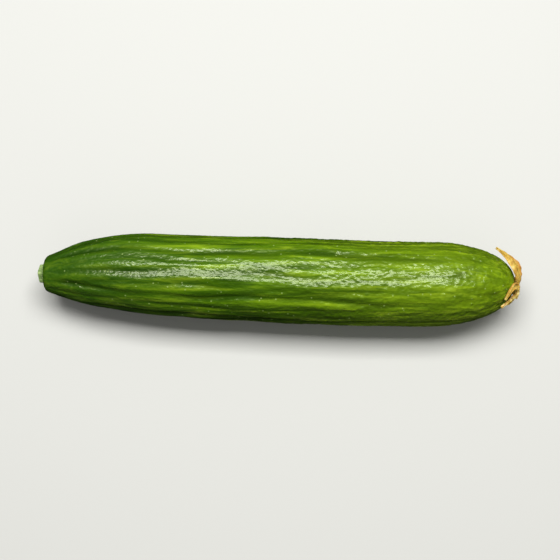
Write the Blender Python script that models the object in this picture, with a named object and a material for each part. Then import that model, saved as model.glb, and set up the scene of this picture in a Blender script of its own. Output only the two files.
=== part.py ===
# A picked cucumber lying on its side, in metres, with +Z up.
# The stem end is at -X and the blossom end at +X. The origin is the middle of the flat spot
# that the fruit rests on. An angle round the fruit is 0 at the top and 90 degrees at +Y.
# Three pieces: the fruit, the cut stub of its stem, and the withered flower at its nose.

import math
import random
from collections import namedtuple

import bmesh
import bpy
from mathutils import Vector, noise

MM = 0.001

# The fruit's body: a slim neck at the stem end, a belly, and a blunt nose
FRUIT_LENGTH = 197.5 * MM
BODY_RADIUS = 18.0 * MM
NECK_SHARE = 0.47
NECK_LENGTH = 16.5 * MM
NECK_POWER = 1.4
BELLY_PLACE = 119 * MM
BELLY_SPREAD = 70 * MM
BELLY_TAPER = 0.05
STEM_CAP_LENGTH = 3.2 * MM
STEM_CAP_POWER = 2.8
NOSE_CAP_LENGTH = 35 * MM
NOSE_CAP_POWER = 2.2

# The axis swings a little to +Y at the neck and to -Y at the belly
NECK_SWING = 1.3 * MM
NECK_SWING_PLACE = 30 * MM
NECK_SWING_SPREAD = 26 * MM
BELLY_SWING = 1.7 * MM
BELLY_SWING_PLACE = 146 * MM
BELLY_SWING_SPREAD = 55 * MM

# The fruit's own weight flattens the skin where it rests, and presses its ribs out there
FLAT_DEPTH = 0.9 * MM
AXIS_HEIGHT = BODY_RADIUS - FLAT_DEPTH
PRESSED_SHARE = 0.8
PRESSED_HALF_WIDTH = math.radians(24)

# Shallow seats in both ends, for the stub and for the flower
STEM_SEAT_DEPTH = 1.6 * MM
STEM_SEAT_RADIUS = 4.8 * MM
STEM_SEAT_RIM = 6.6 * MM
NOSE_SEAT_DEPTH = 1.2 * MM
NOSE_SEAT_RADIUS = 2.8 * MM
NOSE_SEAT_RIM = 5.5 * MM
PIECE_GAP = 0.35 * MM

# The flower sits a little off the fruit's axis
FLOWER_SIDE = -1.6 * MM
NOSE_RADIUS = 16.9 * MM

# Ribs: the skin stands between wavy grooves, every other one shallow
GROOVE_SEED = 11
DEEP_GROOVES = 10
DEEP_GROOVE_DEPTH = 0.85 * MM
SHALLOW_GROOVE_DEPTH = 0.45 * MM
GROOVE_HALF_WIDTH = math.radians(5.2)
GROOVE_SCATTER = math.radians(3.5)
GROOVE_SWAY = math.radians(3.0)
GROOVE_SWAY_LENGTH = 95 * MM
GROOVE_RIPPLE = math.radians(1.2)
GROOVE_RIPPLE_LENGTH = 34 * MM
GROOVE_BEAT_LENGTH = 58 * MM

# Three soft lobes round the fruit, one for each carpel, and slow lumps in its skin
LOBES = 3
LOBE_SHARE = 0.012
LOBE_TURN = math.radians(40)
LUMP_HEIGHT = 0.5 * MM
LUMP_LENGTH = 19 * MM

# Mesh of the fruit
FRUIT_SIDES = 110
FRUIT_RINGS = 46

# The stub: a short stalk with five soft corners, flared where it meets the fruit
STUB_LENGTH = 2.2 * MM
STUB_FOOT_RADIUS = 4.4 * MM
STUB_NECK_RADIUS = 3.7 * MM
STUB_CORNER_SHARE = 0.07
STUB_CUT_SLANT = 0.16
STUB_SIDES = 30
STUB_STEPS = 7

# The flower: a collapsed crown of joined petals over the scar, and five loose petals
CROWN_RADIUS = 4.2 * MM
CROWN_THICKNESS = 2.6 * MM
CROWN_SINK = 1.1 * MM
CROWN_FOLDS = 5
CROWN_FOLD_SHARE = 0.14
PETAL_SIDES = 10
PETAL_STEPS = 13
PETAL_THICKNESS = 0.8 * MM
PETAL_ROOT_LEAN = math.radians(8)
PETAL_CRINKLE = 0.25 * MM

Groove = namedtuple("Groove", "angle depth half_width sway_phase ripple_phase beat_phase")
Petal = namedtuple("Petal", "name start turn hook lean lift width roll roll_turn")

# Angles in degrees. A petal starts at an angle round the nose and turns as it runs out, and its
# last part hooks further. It leans so far down the side of the nose, and its tip is lifted off.
PETALS = [
    Petal("petal_back", 30, 46, 6, 50, 1.5 * MM, 3.4 * MM, 30, 25),
    Petal("petal_front", -44, 2, -5, 34, 0.5 * MM, 2.6 * MM, -20, 45),
    Petal("petal_hook", 2, -4, -28, 33, 0.7 * MM, 2.4 * MM, 15, -50),
    Petal("petal_under", 128, 22, 14, 27, 0.8 * MM, 3.4 * MM, 15, 45),
    Petal("petal_low", -128, -10, -12, 28, 0.8 * MM, 3.2 * MM, -15, -45),
]

SKIN_COLOR = "#48690f"
STEM_COLOR = "#9db07e"
PETAL_COLOR = "#c79f3c"


def linear_color(hex_color):
    """The linear colour of an sRGB hex value."""
    channels = [int(hex_color[place:place + 2], 16) / 255 for place in (1, 3, 5)]
    linear = [c / 12.92 if c <= 0.04045 else ((c + 0.055) / 1.055) ** 2.4 for c in channels]
    return (*linear, 1.0)


def plain_material(name, hex_color, roughness):
    material = bpy.data.materials.new(name)
    material.use_nodes = True
    surface = material.node_tree.nodes["Principled BSDF"]
    surface.inputs["Base Color"].default_value = linear_color(hex_color)
    surface.inputs["Roughness"].default_value = roughness
    surface.inputs["Metallic"].default_value = 0.0
    return material


def rise(value, start, end):
    """0 up to start, 1 from end on, and a smooth step between them."""
    share = min(max((value - start) / (end - start), 0.0), 1.0)
    return share * share * (3 - 2 * share)


def bump(value, place, spread):
    return math.exp(-(((value - place) / spread) ** 2))


def round_end(distance, length, power):
    """Share of the full radius at a distance from the tip of a rounded end."""
    share = min(max(distance / length, 0.0), 1.0)
    return (1 - (1 - share) ** power) ** (1 / power)


def body_radius(along):
    """Radius of the body without its ribs, at a distance along from the stem end."""
    neck = NECK_SHARE + (1 - NECK_SHARE) * (1 - math.exp(-((along / NECK_LENGTH) ** NECK_POWER)))
    belly = 1 - BELLY_TAPER * ((along - BELLY_PLACE) / BELLY_SPREAD) ** 2
    stem_cap = round_end(along, STEM_CAP_LENGTH, STEM_CAP_POWER)
    nose_cap = round_end(FRUIT_LENGTH - along, NOSE_CAP_LENGTH, NOSE_CAP_POWER)
    return BODY_RADIUS * neck * belly * stem_cap * nose_cap


def swing(along):
    neck = NECK_SWING * bump(along, NECK_SWING_PLACE, NECK_SWING_SPREAD)
    belly = BELLY_SWING * bump(along, BELLY_SWING_PLACE, BELLY_SWING_SPREAD)
    return neck - belly


def axis_side(along):
    """Sideways place of the axis, which is 0 over the origin."""
    return swing(along) - swing(FRUIT_LENGTH / 2)


def rib_strength(along):
    """Ribs start behind the stem, are strongest on the neck and fade towards the nose."""
    to_nose = FRUIT_LENGTH - along
    start = rise(along, 2 * MM, 14 * MM)
    fade = 1 - 0.55 * rise(along, 90 * MM, 175 * MM)
    return start * fade * rise(to_nose, 2 * MM, 16 * MM)


def make_grooves():
    draw = random.Random(GROOVE_SEED)
    grooves = []
    count = 2 * DEEP_GROOVES
    for index in range(count):
        depth = DEEP_GROOVE_DEPTH if index % 2 == 0 else SHALLOW_GROOVE_DEPTH
        grooves.append(Groove(
            angle=2 * math.pi * index / count + draw.uniform(-GROOVE_SCATTER, GROOVE_SCATTER),
            depth=depth * draw.uniform(0.75, 1.25),
            half_width=GROOVE_HALF_WIDTH * draw.uniform(0.85, 1.2),
            sway_phase=draw.uniform(0, 2 * math.pi),
            ripple_phase=draw.uniform(0, 2 * math.pi),
            beat_phase=draw.uniform(0, 2 * math.pi),
        ))
    return grooves


GROOVES = make_grooves()


def groove_cut(groove, along, angle):
    """Depth that one groove takes from the skin at a place on it."""
    sway = GROOVE_SWAY * math.sin(2 * math.pi * along / GROOVE_SWAY_LENGTH + groove.sway_phase)
    ripple_turn = 2 * math.pi * along / GROOVE_RIPPLE_LENGTH + groove.ripple_phase
    middle = groove.angle + sway + GROOVE_RIPPLE * math.sin(ripple_turn)
    away = math.remainder(angle - middle, 2 * math.pi)
    beat = math.sin(2 * math.pi * along / GROOVE_BEAT_LENGTH + groove.beat_phase)
    return groove.depth * (0.75 + 0.25 * beat) * bump(away, 0.0, groove.half_width)


def skin_relief(along, angle):
    """How far the skin stands off the plain body: lumps outwards, grooves inwards."""
    cut = sum(groove_cut(groove, along, angle) for groove in GROOVES)
    across = BODY_RADIUS / LUMP_LENGTH
    place = Vector((along / LUMP_LENGTH, across * math.sin(angle), across * math.cos(angle)))
    lump = LUMP_HEIGHT * noise.noise(place)
    from_below = math.remainder(angle - math.pi, 2 * math.pi)
    left_by_weight = 1 - PRESSED_SHARE * bump(from_below, 0.0, PRESSED_HALF_WIDTH)
    return (lump - cut) * rib_strength(along) * left_by_weight


def skin_point(along, angle):
    """Point of the skin at a distance along the fruit and an angle round it."""
    lobed = body_radius(along) * (1 + LOBE_SHARE * math.cos(LOBES * angle + LOBE_TURN))
    radius = lobed + skin_relief(along, angle)
    return Vector((
        along - FRUIT_LENGTH / 2,
        axis_side(along) + radius * math.sin(angle),
        AXIS_HEIGHT + radius * math.cos(angle),
    ))


def flower_axis():
    """Sideways place of the flower's middle."""
    return axis_side(FRUIT_LENGTH) + FLOWER_SIDE


def seat_depth(place):
    """How far the skin is pulled in under the stub and under the flower."""
    up = place.z - AXIS_HEIGHT
    if place.x < 0:
        from_stub = math.hypot(place.y - axis_side(0), up)
        return STEM_SEAT_DEPTH * (1 - rise(from_stub, STEM_SEAT_RADIUS, STEM_SEAT_RIM))
    from_flower = math.hypot(place.y - flower_axis(), up)
    return -NOSE_SEAT_DEPTH * (1 - rise(from_flower, NOSE_SEAT_RADIUS, NOSE_SEAT_RIM))


def make_fruit():
    """A sphere drawn out along X into the fruit, with its underside pressed flat."""
    shape = bmesh.new()
    bmesh.ops.create_uvsphere(shape, u_segments=FRUIT_SIDES, v_segments=FRUIT_RINGS, radius=1)
    for vertex in shape.verts:
        along = FRUIT_LENGTH * (1 - vertex.co.z) / 2
        on_pole = math.hypot(vertex.co.x, vertex.co.y) < 1e-4
        angle = 0.0 if on_pole else math.atan2(vertex.co.y, vertex.co.x)
        place = skin_point(along, angle)
        place.x += seat_depth(place)
        place.z = max(place.z, 0.0)
        vertex.co = place
    return finished_object("fruit", shape, 40)


def stepped_tube(sides, steps):
    """A closed tube of radius 1 along Z, from 0 to 1, cut across into even steps."""
    tube = bmesh.new()
    bmesh.ops.create_cone(tube, cap_ends=True, segments=sides, radius1=1, radius2=1, depth=1)
    long_edges = [edge for edge in tube.edges if abs(edge.verts[0].co.z - edge.verts[1].co.z) > 0.5]
    bmesh.ops.subdivide_edges(tube, edges=long_edges, cuts=steps - 1)
    bmesh.ops.translate(tube, verts=tube.verts, vec=(0, 0, 0.5))
    return tube


def make_stub():
    """The stalk's cut end: it stands out of the neck's seat and ends in a slanted cut."""
    shape = stepped_tube(STUB_SIDES, STUB_STEPS)
    foot_x = -FRUIT_LENGTH / 2 + STEM_SEAT_DEPTH - PIECE_GAP
    for vertex in shape.verts:
        share = vertex.co.z
        angle = math.atan2(vertex.co.y, vertex.co.x)
        flare = (STUB_FOOT_RADIUS - STUB_NECK_RADIUS) * (1 - rise(share, 0.0, 0.7))
        corner = 1 + STUB_CORNER_SHARE * math.cos(5 * angle)
        radius = (STUB_NECK_RADIUS + flare) * corner
        slant = STUB_CUT_SLANT * share * radius * math.cos(angle)
        vertex.co = Vector((
            foot_x - STUB_LENGTH * share - slant,
            axis_side(0) + radius * math.sin(angle),
            AXIS_HEIGHT + radius * math.cos(angle),
        ))
    return finished_object("stem_stub", shape, 35)


def make_crown():
    """The petals' joined base, collapsed into a wavy cushion over the nose's seat."""
    shape = bmesh.new()
    bmesh.ops.create_uvsphere(shape, u_segments=30, v_segments=12, radius=1)
    middle_x = FRUIT_LENGTH / 2 - CROWN_SINK + PIECE_GAP + CROWN_THICKNESS / 2
    for vertex in shape.verts:
        angle = math.atan2(vertex.co.y, vertex.co.x)
        out = math.hypot(vertex.co.x, vertex.co.y)
        fold = 1 + CROWN_FOLD_SHARE * math.cos(CROWN_FOLDS * angle + 0.6)
        radius = CROWN_RADIUS * out * fold
        vertex.co = Vector((
            middle_x + CROWN_THICKNESS / 2 * vertex.co.z,
            flower_axis() + radius * math.sin(angle),
            AXIS_HEIGHT + radius * math.cos(angle),
        ))
    return finished_object("withered_flower", shape, 60)


def nose_skin(lean, angle):
    """Point of the skin and its outward normal, `lean` down the nose from the flower."""
    def at(lean_here, angle_here):
        from_flower = body_radius(FRUIT_LENGTH - NOSE_CAP_LENGTH * (1 - math.cos(lean_here)))
        side = from_flower * math.sin(angle_here) + FLOWER_SIDE
        up = from_flower * math.cos(angle_here)
        from_axis = min(math.hypot(side, up) / NOSE_RADIUS, 0.99)
        distance = 1 - (1 - from_axis ** NOSE_CAP_POWER) ** (1 / NOSE_CAP_POWER)
        return skin_point(FRUIT_LENGTH - NOSE_CAP_LENGTH * distance, math.atan2(side, up))

    step = math.radians(1)
    down = at(lean + step, angle) - at(lean - step, angle)
    round_nose = at(lean, angle + step) - at(lean, angle - step)
    return at(lean, angle), round_nose.cross(down).normalized()


def petal_frame(petal, share):
    """Middle of the petal at a share of its length, its outward normal and its half width."""
    late = max(share - 0.55, 0.0) / 0.45
    angle = math.radians(petal.start + petal.turn * share + petal.hook * late * late)
    lean = PETAL_ROOT_LEAN + (math.radians(petal.lean) - PETAL_ROOT_LEAN) * share
    half_width = petal.width / 2 * (0.72 + 0.5 * math.sin(math.pi * share)) * (1 - 0.55 * late)
    roll = math.radians(petal.roll + petal.roll_turn * share)
    reach = abs(math.sin(roll)) * half_width + PETAL_THICKNESS / 2 + PETAL_CRINKLE
    skin, normal = nose_skin(lean, angle)
    lift = PIECE_GAP + reach + petal.lift * share * share
    return skin + normal * lift, normal, half_width, roll


def make_petal(petal, collection):
    """A dried petal: a thick strip that follows the nose, rolls and crinkles, and narrows."""
    shape = stepped_tube(PETAL_SIDES, PETAL_STEPS)
    for vertex in shape.verts:
        share = vertex.co.z
        turn = math.atan2(vertex.co.y, vertex.co.x)
        middle, normal, half_width, roll = petal_frame(petal, share)
        ahead = petal_frame(petal, share + 0.02)[0] - petal_frame(petal, share - 0.02)[0]
        forward = ahead.normalized()
        side = forward.cross(normal).normalized()
        upright = side.cross(forward)
        flat = side * math.cos(roll) + upright * math.sin(roll)
        thick = upright * math.cos(roll) - side * math.sin(roll)
        across = math.cos(turn)
        crinkle = PETAL_CRINKLE * math.sin(9 * share + 3 * across)
        depth = PETAL_THICKNESS / 2 * math.sin(turn) + crinkle * across * across
        vertex.co = middle + flat * (half_width * across) + thick * depth
    return finished_object(petal.name, shape, 60, collection)


def finished_object(name, shape, sharp_degrees, collection=None):
    """Turns a bmesh into an object with outward faces and smooth shading."""
    shape.normal_update()
    bmesh.ops.recalc_face_normals(shape, faces=shape.faces)
    mesh = bpy.data.meshes.new(name)
    shape.to_mesh(mesh)
    shape.free()
    mesh.shade_smooth()
    mesh.set_sharp_from_angle(angle=math.radians(sharp_degrees))
    made = bpy.data.objects.new(name, mesh)
    (collection or CUCUMBER).objects.link(made)
    return made


def make_flower():
    """Crown and petals, joined into one body."""
    crown = make_crown()
    petal_shapes = bpy.data.collections.new("petal_shapes")
    bpy.context.scene.collection.children.link(petal_shapes)
    for petal in PETALS:
        loose = make_petal(petal, petal_shapes)
        loose.hide_render = True
        loose.display_type = "WIRE"
    union = crown.modifiers.new("join_petals", "BOOLEAN")
    union.operation = "UNION"
    union.operand_type = "COLLECTION"
    union.collection = petal_shapes
    union.solver = "EXACT"
    bpy.context.view_layer.objects.active = crown
    bpy.ops.object.modifier_apply(modifier=union.name)
    for loose in list(petal_shapes.objects):
        bpy.data.objects.remove(loose, do_unlink=True)
    bpy.data.collections.remove(petal_shapes)
    return crown


for old_object in list(bpy.data.objects):
    bpy.data.objects.remove(old_object, do_unlink=True)

CUCUMBER = bpy.data.collections.new("cucumber")
bpy.context.scene.collection.children.link(CUCUMBER)

fruit = make_fruit()
fruit.data.materials.append(plain_material("skin", SKIN_COLOR, 0.35))

stub = make_stub()
stub.data.materials.append(plain_material("stem", STEM_COLOR, 0.7))

flower = make_flower()
flower.data.materials.clear()
flower.data.materials.append(plain_material("petal", PETAL_COLOR, 0.8))
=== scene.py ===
import math
import random
from collections import namedtuple

import bpy
import numpy as np
from mathutils import Matrix, Vector, noise


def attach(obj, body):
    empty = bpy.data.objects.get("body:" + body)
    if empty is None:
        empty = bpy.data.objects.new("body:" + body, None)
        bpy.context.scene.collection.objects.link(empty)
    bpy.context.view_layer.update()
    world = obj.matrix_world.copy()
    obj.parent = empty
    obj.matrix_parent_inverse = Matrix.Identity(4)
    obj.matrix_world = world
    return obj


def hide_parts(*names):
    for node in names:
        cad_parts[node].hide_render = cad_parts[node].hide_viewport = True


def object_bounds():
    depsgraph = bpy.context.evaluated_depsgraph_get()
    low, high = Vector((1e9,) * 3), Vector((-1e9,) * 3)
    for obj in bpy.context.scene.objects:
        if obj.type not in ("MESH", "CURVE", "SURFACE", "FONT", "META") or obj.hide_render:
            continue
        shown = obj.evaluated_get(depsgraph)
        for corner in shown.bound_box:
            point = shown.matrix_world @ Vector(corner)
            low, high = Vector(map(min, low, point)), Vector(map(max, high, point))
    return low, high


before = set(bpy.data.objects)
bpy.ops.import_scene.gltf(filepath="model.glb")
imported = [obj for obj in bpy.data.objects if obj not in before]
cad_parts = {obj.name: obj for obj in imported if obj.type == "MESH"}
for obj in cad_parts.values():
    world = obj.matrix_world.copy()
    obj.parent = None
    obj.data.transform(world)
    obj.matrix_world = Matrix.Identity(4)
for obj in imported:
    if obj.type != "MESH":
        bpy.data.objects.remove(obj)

MM = 0.001
cad_low, cad_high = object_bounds()
bpy.ops.object.select_all(action="DESELECT")


# Fruit
# A small greenhouse cucumber, grown as one piece: firm flesh under a thin waxed skin. The strands
# that fed it pull the skin into long wavy grooves, deepest on the neck, and its own weight
# flattens it a little where it lies.

FRUIT_LENGTH = 197.5 * MM
BODY_RADIUS = 18.0 * MM
NECK_SHARE = 0.47
NECK_LENGTH = 16.5 * MM
NECK_POWER = 1.4
BELLY_PLACE = 119 * MM
BELLY_SPREAD = 70 * MM
BELLY_TAPER = 0.05
STEM_CAP_LENGTH = 3.2 * MM
STEM_CAP_POWER = 2.8
NOSE_CAP_LENGTH = 35 * MM
NOSE_CAP_POWER = 2.2

NECK_SWING = 1.3 * MM
NECK_SWING_PLACE = 30 * MM
NECK_SWING_SPREAD = 26 * MM
BELLY_SWING = 1.7 * MM
BELLY_SWING_PLACE = 146 * MM
BELLY_SWING_SPREAD = 55 * MM

FLAT_DEPTH = 0.9 * MM
AXIS_HEIGHT = BODY_RADIUS - FLAT_DEPTH
PRESSED_SHARE = 0.8
PRESSED_HALF_WIDTH = math.radians(24)

STEM_SEAT_DEPTH = 1.6 * MM
STEM_SEAT_RADIUS = 4.8 * MM
STEM_SEAT_RIM = 6.6 * MM
NOSE_SEAT_DEPTH = 1.2 * MM
NOSE_SEAT_RADIUS = 2.8 * MM
NOSE_SEAT_RIM = 5.5 * MM
FLOWER_SIDE = -1.6 * MM
PIECE_GAP = 0.35 * MM

GROOVE_SEED = 11
DEEP_GROOVES = 10
DEEP_GROOVE_DEPTH = 0.85 * MM
SHALLOW_GROOVE_DEPTH = 0.45 * MM
GROOVE_HALF_WIDTH = math.radians(5.2)
GROOVE_SCATTER = math.radians(3.5)
GROOVE_DEPTH_SPREAD = (0.75, 1.25)
GROOVE_WIDTH_SPREAD = (0.85, 1.2)
GROOVE_SWAY = math.radians(3.0)
GROOVE_SWAY_LENGTH = 95 * MM
GROOVE_RIPPLE = math.radians(1.2)
GROOVE_RIPPLE_LENGTH = 34 * MM
GROOVE_BEAT_LENGTH = 58 * MM
GROOVE_BEAT_SHARE = 0.25

# Ribs start and end over these stretches from each tip, and weaken over the one between
RIB_START = (2 * MM, 14 * MM)
RIB_END = (2 * MM, 16 * MM)
RIB_FADE = (90 * MM, 175 * MM)
RIB_FADE_SHARE = 0.55

LOBES = 3
LOBE_SHARE = 0.012
LOBE_TURN = math.radians(40)
LUMP_HEIGHT = 0.5 * MM
LUMP_LENGTH = 19 * MM

# Fine relief that only the finished skin has: wrinkles along the ribs, and small pebbles, which
# are rougher on the blossom half
WRINKLE_HEIGHT = 0.17 * MM
WRINKLE_WIDTH = 2.2 * MM
WRINKLE_LENGTH = 11 * MM
PEBBLE_HEIGHT = 0.08 * MM
PEBBLE_GROWTH = 0.18 * MM
PEBBLE_WIDTH = 1.4 * MM
PEBBLE_LENGTH = 1.5 * MM
PEBBLE_GROWTH_STRETCH = (85 * MM, 125 * MM)
SMOOTH_STEM_END = (1 * MM, 6 * MM)
SMOOTH_NOSE_END = (1 * MM, 5 * MM)

SKIN_SIDES = 240
SKIN_RINGS = 400
EVEN_SHARE = 0.55

Groove = namedtuple("Groove", "angle depth half_width sway_phase ripple_phase beat_phase")


def rise(value, start, end):
    """0 up to start, 1 from end on, and a smooth step between them."""
    share = np.clip((value - start) / (end - start), 0.0, 1.0)
    return share * share * (3 - 2 * share)


def bump(value, place, spread):
    return np.exp(-(((value - place) / spread) ** 2))


def signed_turn(angle):
    """The same direction as an angle between -180 and 180 degrees."""
    return (angle + np.pi) % (2 * np.pi) - np.pi


def round_end(distance, length, power):
    """Share of the full radius at a distance from the tip of a rounded end."""
    share = np.clip(distance / length, 0.0, 1.0)
    return (1 - (1 - share) ** power) ** (1 / power)


def noise_at(x, y, z):
    """Smooth noise at each of the given places."""
    x, y, z = np.broadcast_arrays(x, y, z)
    values = [noise.noise(Vector(place)) for place in zip(x.flat, y.flat, z.flat)]
    return np.array(values).reshape(x.shape)


def body_radius(along):
    """Radius of the body without its ribs, at a distance along from the stem end."""
    neck = NECK_SHARE + (1 - NECK_SHARE) * (1 - np.exp(-((along / NECK_LENGTH) ** NECK_POWER)))
    belly = 1 - BELLY_TAPER * ((along - BELLY_PLACE) / BELLY_SPREAD) ** 2
    stem_cap = round_end(along, STEM_CAP_LENGTH, STEM_CAP_POWER)
    nose_cap = round_end(FRUIT_LENGTH - along, NOSE_CAP_LENGTH, NOSE_CAP_POWER)
    return BODY_RADIUS * neck * belly * stem_cap * nose_cap


def swing(along):
    neck = NECK_SWING * bump(along, NECK_SWING_PLACE, NECK_SWING_SPREAD)
    belly = BELLY_SWING * bump(along, BELLY_SWING_PLACE, BELLY_SWING_SPREAD)
    return neck - belly


def axis_side(along):
    """Sideways place of the axis, which is 0 over the middle of the fruit."""
    return swing(along) - swing(FRUIT_LENGTH / 2)


def rib_strength(along):
    """Ribs start behind the stem, are strongest on the neck and fade towards the nose."""
    to_nose = FRUIT_LENGTH - along
    start = rise(along, *RIB_START)
    fade = 1 - RIB_FADE_SHARE * rise(along, *RIB_FADE)
    return start * fade * rise(to_nose, *RIB_END)


def grown_grooves():
    draw = random.Random(GROOVE_SEED)
    grooves = []
    count = 2 * DEEP_GROOVES
    for index in range(count):
        depth = DEEP_GROOVE_DEPTH if index % 2 == 0 else SHALLOW_GROOVE_DEPTH
        grooves.append(Groove(
            angle=2 * math.pi * index / count + draw.uniform(-GROOVE_SCATTER, GROOVE_SCATTER),
            depth=depth * draw.uniform(*GROOVE_DEPTH_SPREAD),
            half_width=GROOVE_HALF_WIDTH * draw.uniform(*GROOVE_WIDTH_SPREAD),
            sway_phase=draw.uniform(0, 2 * math.pi),
            ripple_phase=draw.uniform(0, 2 * math.pi),
            beat_phase=draw.uniform(0, 2 * math.pi),
        ))
    return grooves


grooves = grown_grooves()


def groove_cut(groove, along, angle):
    """Depth that one groove takes from the skin at each place on it."""
    sway = GROOVE_SWAY * np.sin(2 * np.pi * along / GROOVE_SWAY_LENGTH + groove.sway_phase)
    ripple_turn = 2 * np.pi * along / GROOVE_RIPPLE_LENGTH + groove.ripple_phase
    middle = groove.angle + sway + GROOVE_RIPPLE * np.sin(ripple_turn)
    away = signed_turn(angle - middle)
    beat = np.sin(2 * np.pi * along / GROOVE_BEAT_LENGTH + groove.beat_phase)
    depth = groove.depth * (1 - GROOVE_BEAT_SHARE + GROOVE_BEAT_SHARE * beat)
    return depth * bump(away, 0.0, groove.half_width)


def all_cuts(along, angle):
    return sum(groove_cut(groove, along, angle) for groove in grooves)


def skin_relief(along, angle):
    """How far the skin stands off the plain body: lumps outwards, grooves inwards."""
    across = BODY_RADIUS / LUMP_LENGTH
    lump = noise_at(along / LUMP_LENGTH, across * np.sin(angle), across * np.cos(angle))
    from_below = signed_turn(angle - np.pi)
    left_by_weight = 1 - PRESSED_SHARE * bump(from_below, 0.0, PRESSED_HALF_WIDTH)
    relief = LUMP_HEIGHT * lump - all_cuts(along, angle)
    return relief * rib_strength(along) * left_by_weight


def fine_relief(along, angle):
    """Wrinkles and pebbles of the finished skin."""
    side = BODY_RADIUS * np.sin(angle)
    up = BODY_RADIUS * np.cos(angle)
    wrinkle = noise_at(along / WRINKLE_LENGTH, side / WRINKLE_WIDTH, up / WRINKLE_WIDTH)
    pebble = noise_at(along / PEBBLE_LENGTH, side / PEBBLE_WIDTH, up / PEBBLE_WIDTH)
    pebble_height = PEBBLE_HEIGHT + PEBBLE_GROWTH * rise(along, *PEBBLE_GROWTH_STRETCH)
    fine = WRINKLE_HEIGHT * wrinkle * rib_strength(along) + pebble_height * pebble
    return fine * rise(along, *SMOOTH_STEM_END) * rise(FRUIT_LENGTH - along, *SMOOTH_NOSE_END)


def skin_point(along, angle, extra=0.0):
    """Points of the skin at distances along the fruit and angles round it, 0 at the top."""
    lobed = body_radius(along) * (1 + LOBE_SHARE * np.cos(LOBES * angle + LOBE_TURN))
    radius = lobed + skin_relief(along, angle) + extra
    x = along - FRUIT_LENGTH / 2 + 0 * angle
    y = axis_side(along) + radius * np.sin(angle)
    z = AXIS_HEIGHT + radius * np.cos(angle)
    return np.stack([x, y, z], axis=-1)


def flower_axis():
    """Sideways place of the flower's middle, which is a little off the fruit's axis."""
    return axis_side(FRUIT_LENGTH) + FLOWER_SIDE


def seat_depth(places):
    """How far the skin is pulled in under the stub and under the flower."""
    x, y, z = places.T
    from_stub = np.hypot(y - axis_side(0.0), z - AXIS_HEIGHT)
    from_flower = np.hypot(y - flower_axis(), z - AXIS_HEIGHT)
    at_stem = STEM_SEAT_DEPTH * (1 - rise(from_stub, STEM_SEAT_RADIUS, STEM_SEAT_RIM))
    at_nose = NOSE_SEAT_DEPTH * (1 - rise(from_flower, NOSE_SEAT_RADIUS, NOSE_SEAT_RIM))
    return np.where(x < 0, at_stem, -at_nose)


def vertex_places(piece):
    places = np.empty(len(piece.data.vertices) * 3)
    piece.data.vertices.foreach_get("co", places)
    return places.reshape(-1, 3)


def move_vertices(piece, places):
    piece.data.vertices.foreach_set("co", places.ravel())
    piece.data.update()


def keep_value(piece, name, values):
    """Stores one number for each vertex, for the material to read."""
    kept = piece.data.attributes.new(name, "FLOAT", "POINT")
    kept.data.foreach_set("value", values.astype(np.float32))


bpy.ops.mesh.primitive_uv_sphere_add(segments=SKIN_SIDES, ring_count=SKIN_RINGS, radius=1)
fruit_skin = bpy.context.object
fruit_skin.name = "fruit_skin"
ball = vertex_places(fruit_skin)
lean_from_stem = np.arccos(np.clip(ball[:, 2], -1, 1)) / np.pi
along_ball = EVEN_SHARE * lean_from_stem + (1 - EVEN_SHARE) * (1 - ball[:, 2]) / 2
along_ball = FRUIT_LENGTH * np.clip(along_ball, 0, 1)
angle_ball = np.arctan2(ball[:, 1], ball[:, 0])
skin_places = skin_point(along_ball, angle_ball, fine_relief(along_ball, angle_ball))
skin_places[:, 0] += seat_depth(skin_places)
skin_places[:, 2] = np.maximum(skin_places[:, 2], 0.0)
move_vertices(fruit_skin, skin_places)
groove_share = all_cuts(along_ball, angle_ball) / DEEP_GROOVE_DEPTH
# The groove depth is kept for the material, which paints shade into the grooves with it
keep_value(fruit_skin, "groove", np.clip(groove_share, 0, 1) * rib_strength(along_ball))
bpy.ops.object.shade_smooth()


def linear(hex_color):
    """The linear colour of an sRGB hex value."""
    channels = [int(hex_color[place:place + 2], 16) / 255 for place in (1, 3, 5)]
    values = [c / 12.92 if c <= 0.04045 else ((c + 0.055) / 1.055) ** 2.4 for c in channels]
    return (*values, 1.0)


def add(tree, kind, sockets=None, ramp=None, **settings):
    """Adds a node, sets its settings, and sets or links its sockets by name or number."""
    node = tree.nodes.new(kind)
    for name, value in settings.items():
        setattr(node, name, value)
    for key, value in (sockets or {}).items():
        if isinstance(value, bpy.types.NodeSocket):
            tree.links.new(value, node.inputs[key])
        else:
            node.inputs[key].default_value = value
    for index, (place, color) in enumerate(ramp or []):
        stops = node.color_ramp.elements
        stop = stops[index] if index < 2 else stops.new(place)
        stop.position = place
        stop.color = linear(color)
    return node


def new_finish(name):
    """An empty material, its node tree and its shader."""
    finish = bpy.data.materials.new(name)
    finish.use_nodes = True
    return finish, finish.node_tree, finish.node_tree.nodes["Principled BSDF"]


# Cucumber skin: living cells under a thin wax. It is deep green, darker on the neck and yellower
# towards the blossom, with painted shade in the grooves, a green-tinted sheen and the clear
# glints of the wax.
BLOSSOM_TINT = (-30 * MM, 100 * MM)
NECK_TINT = (-20 * MM, -90 * MM)

waxed_skin, tree, shader = new_finish("waxed_cucumber_skin")
place = add(tree, "ShaderNodeTexCoord").outputs["Object"]
groove_shade_mask = add(tree, "ShaderNodeAttribute", attribute_name="groove").outputs["Fac"]

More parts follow.
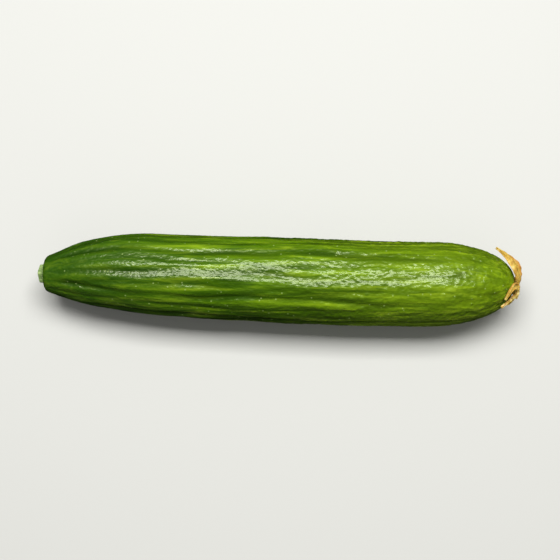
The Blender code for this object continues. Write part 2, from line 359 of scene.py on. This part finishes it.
# Streaks about 26 mm long and 2 mm wide, on broad ones of 80 and 9 mm, with 8 mm mottles
streak_place = add(tree, "ShaderNodeMapping", {"Vector": place, "Scale": (38, 480, 480)})
streaks = add(tree, "ShaderNodeTexNoise", {
    "Vector": streak_place.outputs[0], "Scale": 1.0, "Detail": 5.0, "Roughness": 0.62,
    "Distortion": 0.7,
})
broad_place = add(tree, "ShaderNodeMapping", {"Vector": place, "Scale": (12, 115, 115)})
broad = add(tree, "ShaderNodeTexNoise", {
    "Vector": broad_place.outputs[0], "Scale": 1.0, "Detail": 4.0, "Roughness": 0.55,
    "Distortion": 0.8,
})
mottle = add(tree, "ShaderNodeTexNoise", {
    "Vector": place, "Scale": 120.0, "Detail": 5.0, "Roughness": 0.6,
})

ground_color = add(tree, "ShaderNodeValToRGB", {"Fac": broad.outputs["Fac"]}, ramp=[
    (0.34, "#1d3c00"), (0.66, "#6a8f02"), (0.5, "#3e6200"),
])
streak_color = add(tree, "ShaderNodeValToRGB", {"Fac": streaks.outputs["Fac"]}, ramp=[
    (0.36, "#122d00"), (0.66, "#94b01a"), (0.5, "#406300"),
])
streaked = add(tree, "ShaderNodeMix", {
    0: 0.5, 6: ground_color.outputs[0], 7: streak_color.outputs[0],
}, data_type="RGBA")

along_fruit = add(tree, "ShaderNodeSeparateXYZ", {"Vector": place}).outputs["X"]
to_blossom = add(tree, "ShaderNodeMapRange", {
    "Value": along_fruit, "From Min": BLOSSOM_TINT[0], "From Max": BLOSSOM_TINT[1],
    "To Min": 0.0, "To Max": 0.4,
}, interpolation_type="SMOOTHSTEP")
blossom_part = add(tree, "ShaderNodeMath", {
    0: to_blossom.outputs[0], 1: broad.outputs["Fac"],
}, operation="MULTIPLY")
ripened = add(tree, "ShaderNodeMix", {
    0: blossom_part.outputs[0], 6: streaked.outputs[2], 7: linear("#97aa14"),
}, data_type="RGBA")
to_stem = add(tree, "ShaderNodeMapRange", {
    "Value": along_fruit, "From Min": NECK_TINT[0], "From Max": NECK_TINT[1],
    "To Min": 0.0, "To Max": 0.72,
}, interpolation_type="SMOOTHSTEP")
neck_dark = add(tree, "ShaderNodeMix", {
    0: to_stem.outputs[0], 6: ripened.outputs[2], 7: linear("#244708"),
}, data_type="RGBA")

# Painted shade: the colour is darkened along the grooves, where shade falls in them
groove_shade_part = add(tree, "ShaderNodeMath", {0: groove_shade_mask, 1: 0.8}, operation="MULTIPLY")
groove_shaded = add(tree, "ShaderNodeMix", {
    0: groove_shade_part.outputs[0], 6: neck_dark.outputs[2], 7: linear("#183402"),
}, data_type="RGBA")

# Pale pores, about 0.6 mm across and 3 mm apart
pores = add(tree, "ShaderNodeTexVoronoi", {"Vector": place, "Scale": 330.0})
pore_dots = add(tree, "ShaderNodeMapRange", {
    "Value": pores.outputs["Distance"], "From Min": 0.07, "From Max": 0.13,
    "To Min": 0.4, "To Max": 0.0,
})
flecked = add(tree, "ShaderNodeMix", {
    0: pore_dots.outputs[0], 6: groove_shaded.outputs[2], 7: linear("#a9bd72"),
}, data_type="RGBA")
tree.links.new(flecked.outputs[2], shader.inputs["Base Color"])

roughness = add(tree, "ShaderNodeMapRange", {
    "Value": mottle.outputs["Fac"], "From Min": 0.35, "From Max": 0.65,
    "To Min": 0.34, "To Max": 0.42,
})
tree.links.new(roughness.outputs[0], shader.inputs["Roughness"])
shader.inputs["Specular IOR Level"].default_value = 0.45
shader.inputs["Specular Tint"].default_value = (0.85, 1.0, 0.45, 1.0)
shader.inputs["Coat Weight"].default_value = 0.6
shader.inputs["Coat Roughness"].default_value = 0.09
shader.inputs["Coat IOR"].default_value = 1.27

# The wax lies over tiny bumps, about 1.8 mm long and 1.1 mm wide, and the coat follows them
# alone. The skin below it follows the streaks' strands too.
grain_place = add(tree, "ShaderNodeMapping", {"Vector": place, "Scale": (560, 900, 900)})
grains = add(tree, "ShaderNodeTexNoise", {
    "Vector": grain_place.outputs[0], "Scale": 1.0, "Detail": 1.0, "Roughness": 0.5,
})
grain_bump = add(tree, "ShaderNodeBump", {
    "Height": grains.outputs["Fac"], "Strength": 1.0, "Distance": 0.00025,
})
strands = add(tree, "ShaderNodeTexNoise", {
    "Vector": streak_place.outputs[0], "Scale": 1.0, "Detail": 1.0, "Roughness": 0.5,
})
streak_bump = add(tree, "ShaderNodeBump", {
    "Height": strands.outputs["Fac"], "Strength": 0.5, "Distance": 0.0003,
    "Normal": grain_bump.outputs[0],
})
tree.links.new(streak_bump.outputs[0], shader.inputs["Normal"])
tree.links.new(grain_bump.outputs[0], shader.inputs["Coat Normal"])

fruit_skin.data.materials.append(waxed_skin)
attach(fruit_skin, "root")
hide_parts("fruit")


# Stem stub
# The stalk that the fruit hung from: a green fibrous stem with five soft corners, cut short by
# a blade, so its end shows the paler wood with a ring of strands and a soft pith.

STUB_LENGTH = 2.2 * MM
STUB_FOOT_RADIUS = 4.4 * MM
STUB_NECK_RADIUS = 3.7 * MM
STUB_CORNER_SHARE = 0.07
STUB_CUT_SLANT = 0.16
STUB_FLARE_PART = 0.7
STUB_RIM_ROUNDING = 0.04
STUB_SIDES = 120
STUB_RINGS = 100
FOOT_PART = 0.1
RIM_PART = 0.55
PITH_DEPTH = 0.5 * MM
PITH_EDGE = (0.12, 0.4)
FIBRE_HEIGHT = 0.12 * MM
FIBRE_TURNS = 7
FIBRE_PACE = 1.2
SAW_HEIGHT = 0.12 * MM
SAW_LENGTH = 0.8 * MM

# A ball opened out: its first rings are the hidden foot, its last ones the cut face
bpy.ops.object.select_all(action="DESELECT")
bpy.ops.mesh.primitive_uv_sphere_add(segments=STUB_SIDES, ring_count=STUB_RINGS, radius=1)
stem_stalk = bpy.context.object
stem_stalk.name = "stem_stalk"
ball = vertex_places(stem_stalk)
part = np.arccos(np.clip(ball[:, 2], -1, 1)) / np.pi
share = np.clip((part - FOOT_PART) / (RIM_PART - FOOT_PART), 0.0, 1.0)
out = np.clip(np.minimum(part / FOOT_PART, (1 - part) / (1 - RIM_PART)), 0.0, 1.0)
angle = np.arctan2(ball[:, 1], ball[:, 0])
flare = (STUB_FOOT_RADIUS - STUB_NECK_RADIUS) * (1 - rise(share, 0.0, STUB_FLARE_PART))
corner = 1 + STUB_CORNER_SHARE * np.cos(5 * angle)
fibres = noise_at(share * FIBRE_PACE, FIBRE_TURNS * np.cos(angle), FIBRE_TURNS * np.sin(angle))
rim = 1 - STUB_RIM_ROUNDING * rise(share, 0.9, 1.0)
radius = ((STUB_NECK_RADIUS + flare) * corner * rim + FIBRE_HEIGHT * fibres) * out
side = radius * np.sin(angle)
up = radius * np.cos(angle)
on_cut = rise(part, RIM_PART - 0.01, RIM_PART + 0.03)
pith = PITH_DEPTH * (1 - rise(out, *PITH_EDGE))
sawn = SAW_HEIGHT * noise_at(side / SAW_LENGTH, up / SAW_LENGTH, 0.0)
slant = STUB_CUT_SLANT * share * up
foot_x = -FRUIT_LENGTH / 2 + STEM_SEAT_DEPTH - PIECE_GAP
move_vertices(stem_stalk, np.stack([
    foot_x - STUB_LENGTH * share - slant + (pith + sawn) * on_cut,
    axis_side(0.0) + side,
    AXIS_HEIGHT + up,
], axis=-1))
keep_value(stem_stalk, "out", out)
keep_value(stem_stalk, "cut_face", on_cut)
bpy.ops.object.shade_smooth_by_angle(angle=math.radians(50))

# Fresh cut stalk: matt and pale green, with fibres 5 mm long and 0.7 mm wide on its side, and
# cells of 0.6 mm and rings on the cut, browner where the air has dried its rim
cut_stalk, tree, shader = new_finish("cut_green_stalk")
place = add(tree, "ShaderNodeTexCoord").outputs["Object"]
on_cut_face = add(tree, "ShaderNodeAttribute", attribute_name="cut_face").outputs["Fac"]
out_part = add(tree, "ShaderNodeAttribute", attribute_name="out").outputs["Fac"]
fibre_place = add(tree, "ShaderNodeMapping", {"Vector": place, "Scale": (200, 1500, 1500)})
fibre = add(tree, "ShaderNodeTexNoise", {
    "Vector": fibre_place.outputs[0], "Scale": 1.0, "Detail": 3.0, "Roughness": 0.6,
})
bark = add(tree, "ShaderNodeValToRGB", {"Fac": fibre.outputs["Fac"]}, ramp=[
    (0.35, "#4c6b2a"), (0.68, "#94a867"),
])
cells = add(tree, "ShaderNodeTexVoronoi", {"Vector": place, "Scale": 1700.0})
wood = add(tree, "ShaderNodeValToRGB", {"Fac": cells.outputs["Distance"]}, ramp=[
    (0.1, "#c6d2ac"), (0.8, "#93a873"),
])
ring_color = add(tree, "ShaderNodeValToRGB", {"Fac": out_part}, ramp=[
    (0.0, "#8d9b6c"), (1.0, "#6d7d43"), (0.3, "#b7c597"), (0.72, "#c3cfa4"), (0.93, "#9fb07a"),
])
cut_color = add(tree, "ShaderNodeMix", {
    0: 0.5, 6: wood.outputs[0], 7: ring_color.outputs[0],
}, data_type="RGBA")
stalk_color = add(tree, "ShaderNodeMix", {
    0: on_cut_face, 6: bark.outputs[0], 7: cut_color.outputs[2],
}, data_type="RGBA")
tree.links.new(stalk_color.outputs[2], shader.inputs["Base Color"])
shader.inputs["Roughness"].default_value = 0.72
fibre_bump = add(tree, "ShaderNodeBump", {
    "Height": fibre.outputs["Fac"], "Strength": 0.6, "Distance": 0.0002,
})
tree.links.new(fibre_bump.outputs[0], shader.inputs["Normal"])

stem_stalk.data.materials.append(cut_stalk)
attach(stem_stalk, "root")
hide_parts("stem_stub")


# Withered flower
# The yellow flower dries on the fruit and stays. Its petals are joined below in a crown that has
# collapsed over the scar, and above they are five pleated papery strips that curl over the nose.

CROWN_RADIUS = 4.2 * MM
CROWN_THICKNESS = 2.6 * MM
CROWN_SINK = 1.1 * MM
CROWN_FOLDS = 5
CROWN_FOLD_SHARE = 0.14
CROWN_CRUMPLE = 0.45 * MM
CROWN_PUCKERS = 17
CROWN_PUCKER_SHARE = 0.45
CROWN_DENT = 0.7 * MM
CROWN_SIDES = 140
CROWN_RINGS = 70
PETAL_THICKNESS = 0.8 * MM
PETAL_ROOT_LEAN = math.radians(8)
PETAL_CRINKLE = 0.25 * MM
PETAL_FOOT_SHARE = 0.72
PETAL_SWELL = 0.5
TIP_NARROWING = 0.55
HOOK_START = 0.55
HOOK_REACH = 0.45
NOSE_RADIUS = 16.9 * MM
PAPER_THICKNESS = 0.22 * MM
PLEAT_DEPTH = 0.38 * MM
PLEAT_TURN = 4.2
PLEAT_WANDER = 1.6
CRUMPLE = 0.28 * MM
CRUMPLE_PACE = (11, 2.2)
RAGGED_SHARE = 0.2
RAGGED_PACE = 9
ROOT_FLATNESS = 0.55
PETAL_COLUMNS = 22
PETAL_ROWS = 60

# Angles in degrees: where a petal starts round the nose, how far it turns and hooks, how far down
# the nose it leans, and how it rolls
Petal = namedtuple("Petal", "name start turn hook lean lift width roll roll_turn")
petals = [
    Petal("petal_back", 30, 46, 6, 50, 1.5 * MM, 3.4 * MM, 30, 25),
    Petal("petal_front", -44, 2, -5, 34, 0.5 * MM, 2.6 * MM, -20, 45),
    Petal("petal_hook", 2, -4, -28, 33, 0.7 * MM, 2.4 * MM, 15, -50),
    Petal("petal_under", 128, 22, 14, 27, 0.8 * MM, 3.4 * MM, 15, 45),
    Petal("petal_low", -128, -10, -12, 28, 0.8 * MM, 3.2 * MM, -15, -45),
]


def unit(vectors):
    return vectors / np.linalg.norm(vectors, axis=-1, keepdims=True)


def nose_skin(lean, angle):
    """Points of the skin and their outward normals, `lean` down the nose from the flower."""
    def at(lean_here, angle_here):
        from_flower = body_radius(FRUIT_LENGTH - NOSE_CAP_LENGTH * (1 - np.cos(lean_here)))
        side = from_flower * np.sin(angle_here) + FLOWER_SIDE
        up = from_flower * np.cos(angle_here)
        from_axis = np.minimum(np.hypot(side, up) / NOSE_RADIUS, 0.99)
        distance = 1 - (1 - from_axis ** NOSE_CAP_POWER) ** (1 / NOSE_CAP_POWER)
        return skin_point(FRUIT_LENGTH - NOSE_CAP_LENGTH * distance, np.arctan2(side, up))

    step = math.radians(1)
    down = at(lean + step, angle) - at(lean - step, angle)
    round_nose = at(lean, angle + step) - at(lean, angle - step)
    return at(lean, angle), unit(np.cross(round_nose, down))


def petal_frame(petal, share):
    """Middle of the petal along its length, its outward normal, half width and roll."""
    late = np.maximum(share - HOOK_START, 0.0) / HOOK_REACH
    angle = np.radians(petal.start + petal.turn * share + petal.hook * late * late)
    lean = PETAL_ROOT_LEAN + (math.radians(petal.lean) - PETAL_ROOT_LEAN) * share
    swell = PETAL_FOOT_SHARE + PETAL_SWELL * np.sin(np.pi * share)
    half_width = petal.width / 2 * swell * (1 - TIP_NARROWING * late)
    roll = np.radians(petal.roll + petal.roll_turn * share)
    reach = np.abs(np.sin(roll)) * half_width + PETAL_THICKNESS / 2 + PETAL_CRINKLE
    skin, normal = nose_skin(lean, angle)
    lift = PIECE_GAP + reach + petal.lift * share * share
    return skin + normal * lift[..., None], normal, half_width, roll


def dried_petal(petal, phase):
    """A grid laid along a petal's path, pleated, crumpled and ragged, by its own phase."""
    bpy.ops.object.select_all(action="DESELECT")
    bpy.ops.mesh.primitive_grid_add(x_subdivisions=PETAL_COLUMNS, y_subdivisions=PETAL_ROWS, size=2)
    sheet = bpy.context.object
    sheet.name = petal.name
    flat_places = vertex_places(sheet)
    across = flat_places[:, 0]
    share = (flat_places[:, 1] + 1) / 2
    middle, normal, half_width, roll = petal_frame(petal, share)
    ahead = petal_frame(petal, share + 0.02)[0] - petal_frame(petal, share - 0.02)[0]
    forward = unit(ahead)
    side = unit(np.cross(forward, normal))
    upright = np.cross(side, forward)
    cos_roll = np.cos(roll)[:, None]
    sin_roll = np.sin(roll)[:, None]
    flat = side * cos_roll + upright * sin_roll
    thick = upright * cos_roll - side * sin_roll
    ragged = 1 + RAGGED_SHARE * noise_at(share * RAGGED_PACE, np.sign(across) * 3, phase)
    wander = PLEAT_WANDER * np.sin(5 * share + phase)
    pleat = PLEAT_DEPTH * np.cos(PLEAT_TURN * across + wander + phase)
    along_pace, across_pace = CRUMPLE_PACE
    crumple = CRUMPLE * noise_at(share * along_pace, across * across_pace, phase + 5)
    crinkle = PETAL_CRINKLE * np.sin(9 * share + 3 * across) * across * across
    grown = ROOT_FLATNESS + (1 - ROOT_FLATNESS) * rise(share, 0.0, 0.3)
    depth = (pleat + crumple + crinkle) * grown
    out_to_side = half_width * across * ragged
    move_vertices(sheet, middle + flat * out_to_side[:, None] + thick * depth[:, None])
    keep_value(sheet, "edge", rise(np.abs(across + 0.15), 0.55, 1.1))
    thickness = sheet.modifiers.new("paper", "SOLIDIFY")
    thickness.thickness = PAPER_THICKNESS
    thickness.offset = 0.0
    bpy.ops.object.modifier_apply(modifier=thickness.name)
    rounding = sheet.modifiers.new("rounding", "SUBSURF")
    rounding.levels = 1
    rounding.render_levels = 1
    bpy.ops.object.modifier_apply(modifier=rounding.name)
    bpy.ops.object.shade_smooth()
    return sheet


bpy.ops.object.select_all(action="DESELECT")
bpy.ops.mesh.primitive_uv_sphere_add(segments=CROWN_SIDES, ring_count=CROWN_RINGS, radius=1)
crown = bpy.context.object
crown.name = "withered_crown"
ball = vertex_places(crown)
angle = np.arctan2(ball[:, 1], ball[:, 0])
out = np.hypot(ball[:, 0], ball[:, 1])
fold = 1 + CROWN_FOLD_SHARE * np.cos(CROWN_FOLDS * angle + 0.6)
radius = CROWN_RADIUS * out * fold
puckers = np.cos(CROWN_PUCKERS * angle + 3 * np.sin(2 * angle)) * out * out
crumpled = noise_at(ball[:, 0] * 2.6, ball[:, 1] * 2.6, ball[:, 2] * 1.5)
crumple = CROWN_CRUMPLE * (CROWN_PUCKER_SHARE * puckers + crumpled)
middle_x = FRUIT_LENGTH / 2 - CROWN_SINK + PIECE_GAP + CROWN_THICKNESS / 2
dent = CROWN_DENT * (1 - rise(out, 0.0, 0.45)) * rise(ball[:, 2], 0.2, 0.9)
outward = np.sign(ball[:, 2]) * rise(np.abs(ball[:, 2]), 0.0, 0.5)
move_vertices(crown, np.stack([
    middle_x + CROWN_THICKNESS / 2 * ball[:, 2] + crumple * outward - dent,
    flower_axis() + (radius + crumple * out) * np.sin(angle),
    AXIS_HEIGHT + (radius + crumple * out) * np.cos(angle),
], axis=-1))
bpy.ops.object.shade_smooth()

dried = [crown] + [dried_petal(petal, 1.7 * index) for index, petal in enumerate(petals)]

# Dried petals: thin and matt as paper, ochre where they were thick and straw-coloured where they
# bleached, in patches of 4 mm, with orange-brown edges and a crumpled grain of 0.7 mm
dry_petal, tree, shader = new_finish("dried_petal")
place = add(tree, "ShaderNodeTexCoord").outputs["Object"]
tone = add(tree, "ShaderNodeTexNoise", {
    "Vector": place, "Scale": 240.0, "Detail": 4.0, "Roughness": 0.6,
})
petal_color = add(tree, "ShaderNodeValToRGB", {"Fac": tone.outputs["Fac"]}, ramp=[
    (0.3, "#86681c"), (0.72, "#e0d08c"), (0.43, "#ac8a2a"), (0.57, "#c6a94c"),
])
fine_tone = add(tree, "ShaderNodeTexNoise", {
    "Vector": place, "Scale": 1400.0, "Detail": 3.0, "Roughness": 0.6,
})
petal_blotch = add(tree, "ShaderNodeMapRange", {
    "Value": fine_tone.outputs["Fac"], "From Min": 0.52, "From Max": 0.75,
    "To Min": 0.0, "To Max": 0.5,
})
petal_mix = add(tree, "ShaderNodeMix", {
    0: petal_blotch.outputs[0], 6: petal_color.outputs[0], 7: linear("#8f6426"),
}, data_type="RGBA")
edge = add(tree, "ShaderNodeAttribute", attribute_name="edge").outputs["Fac"]
edge_part = add(tree, "ShaderNodeMath", {0: edge, 1: tone.outputs["Fac"]}, operation="MULTIPLY")
edged = add(tree, "ShaderNodeMix", {
    0: edge_part.outputs[0], 6: petal_mix.outputs[2], 7: linear("#9c4f14"),
}, data_type="RGBA")
tree.links.new(edged.outputs[2], shader.inputs["Base Color"])
shader.inputs["Roughness"].default_value = 0.7
shader.inputs["Subsurface Weight"].default_value = 0.25
shader.inputs["Subsurface Radius"].default_value = (1.0, 0.6, 0.25)
shader.inputs["Subsurface Scale"].default_value = 0.001
paper_bump = add(tree, "ShaderNodeBump", {
    "Height": fine_tone.outputs["Fac"], "Strength": 0.5, "Distance": 0.00015,
})
tree.links.new(paper_bump.outputs[0], shader.inputs["Normal"])

for piece in dried:
    piece.data.materials.append(dry_petal)
    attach(piece, "root")
    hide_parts("withered_flower")


# Studio
# A plain pale floor, one broad soft window of light from the back, and a weak fill. Only the
# window is mirrored in the wax, so the flanks keep their deep green.

FLOOR_SIZE = 6
WINDOW_PLACE = (0.01, 0.36, 0.97)
WINDOW_WIDTH = 0.9
WINDOW_HEIGHT = 0.38
WINDOW_WATTS = 18.2
FILL_PLACE = (0.2, -0.9, 0.7)
FILL_SIZE = 1.0
FILL_WATTS = 1.0
ROOM_LIGHT = 0.22


def area_light(name, place, target, width, height, watts):
    lamp = bpy.data.lights.new(name, "AREA")
    lamp.shape = "RECTANGLE"
    lamp.size = width
    lamp.size_y = height
    lamp.energy = watts
    holder = bpy.data.objects.new(name, lamp)
    bpy.context.scene.collection.objects.link(holder)
    holder.location = place
    holder.rotation_euler = (Vector(place) - Vector(target)).to_track_quat("Z", "Y").to_euler()
    return holder


bpy.ops.object.select_all(action="DESELECT")
bpy.ops.mesh.primitive_plane_add(size=FLOOR_SIZE)
floor = bpy.context.object
floor.name = "floor"
pale_floor, tree, shader = new_finish("pale_floor")
shader.inputs["Base Color"].default_value = linear("#bdbdb8")
shader.inputs["Roughness"].default_value = 0.8
floor.data.materials.append(pale_floor)
floor.visible_glossy = False

middle = (cad_low + cad_high) / 2
area_light("window", WINDOW_PLACE, middle, WINDOW_WIDTH, WINDOW_HEIGHT, WINDOW_WATTS)
fill = area_light("fill", FILL_PLACE, middle, FILL_SIZE, FILL_SIZE, FILL_WATTS)
fill.visible_glossy = False

world = bpy.data.worlds.new("studio")
world.use_nodes = True
even_light = world.node_tree.nodes["Background"]
even_light.inputs["Color"].default_value = (1, 1, 1, 1)
even_light.inputs["Strength"].default_value = ROOM_LIGHT
world.cycles_visibility.glossy = False
bpy.context.scene.world = world
bpy.context.scene.view_settings.view_transform = "Standard"


# Camera
# It looks almost straight down, as the photograph does, with the stem end at the left. The fruit
# fills most of the width and is turned by the same small angle as in the photograph.

CAMERA_ELEVATION = math.radians(84)
CAMERA_ROLL = math.radians(0.9)
CAMERA_LENS_MM = 70
SENSOR_MM = 36
FILLED_SHARE = 0.86

lens = bpy.data.cameras.new("camera")
lens.lens = CAMERA_LENS_MM
lens.sensor_width = SENSOR_MM
camera = bpy.data.objects.new("camera", lens)
bpy.context.scene.collection.objects.link(camera)
back = Vector((0, -math.cos(CAMERA_ELEVATION), math.sin(CAMERA_ELEVATION)))
span = (cad_high.x - cad_low.x) / FILLED_SHARE
camera.location = middle + back * (span * CAMERA_LENS_MM / SENSOR_MM)
turn = back.to_track_quat("Z", "Y").to_matrix() @ Matrix.Rotation(CAMERA_ROLL, 3, "Z")
camera.rotation_euler = turn.to_euler()
bpy.context.scene.camera = camera
